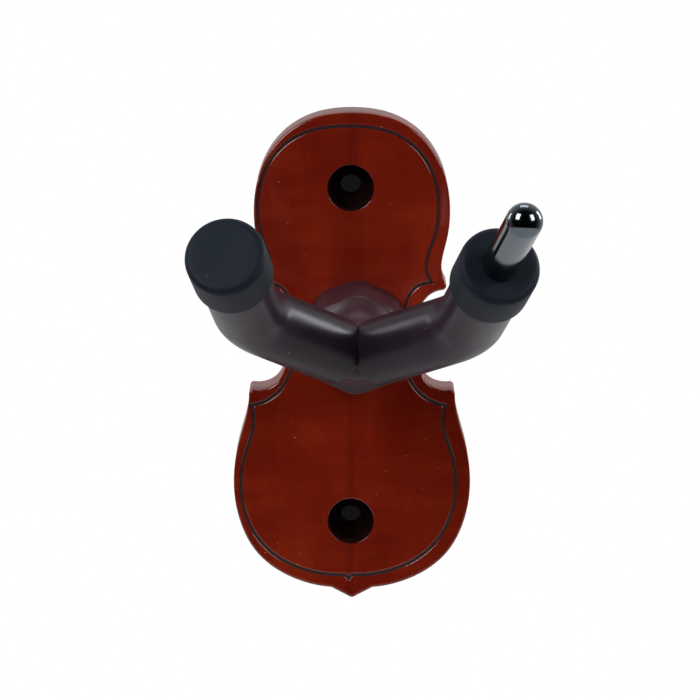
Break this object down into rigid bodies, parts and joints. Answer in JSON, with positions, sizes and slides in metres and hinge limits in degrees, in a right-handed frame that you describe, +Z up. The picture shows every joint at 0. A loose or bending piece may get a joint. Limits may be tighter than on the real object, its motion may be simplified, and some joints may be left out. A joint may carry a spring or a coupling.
{
  "type": "wall guitar hanger",
  "caption": "Violin-shaped wooden wall plate with a swivelling forked yoke in thick rubber sleeves, soft end caps and a round accessory peg.",
  "frame": {"origin": "on the wall plane at the back of the wooden plate, midway between the two wall screw holes", "axes": "+Y into the wall, -Y out of the plate's front, +Z up, +X to the right as seen from the front"},
  "size_m": [0.1084, 0.1742, 0.166],
  "materials": {
    "lacquered_wood": "gloss lacquer over red-brown stain",
    "black_inlay": "satin black",
    "nylon": "moulded, satin",
    "hub_polymer": "moulded, satin gloss, purple-brown",
    "zinc_steel": "zinc plated",
    "blue_nylon": "moulded",
    "black_steel": "black oxide",
    "sleeve_rubber": "satin, dark purple-brown charcoal",
    "cap_rubber": "matte blue-black",
    "smoked_chrome": "polished dark chrome"
  },
  "bodies": {
    "plate": {"backplate": "lacquered_wood", "purfling_inlay": "black_inlay", "front_bushing": "nylon", "rear_bushing": "nylon"},
    "yoke": {"friction_washer": "nylon", "hub_collar": "hub_polymer", "swivel_stem": "zinc_steel", "rear_washer": "zinc_steel", "spring_washer": "zinc_steel", "lock_nut": "zinc_steel", "nylon_ring": "blue_nylon", "yoke_rod": "black_steel", "left_arm_sleeve": "sleeve_rubber", "right_arm_sleeve": "sleeve_rubber", "left_end_cap": "cap_rubber", "right_end_cap": "cap_rubber", "accessory_peg": "smoked_chrome"}
  },
  "joints": [
    {"name": "yoke_swivel", "type": "hinge", "parent": "plate", "child": "yoke", "pos_m": [0.002, 0, 0.0078], "axis": [0, 1, 0], "continuous": true}
  ]
}
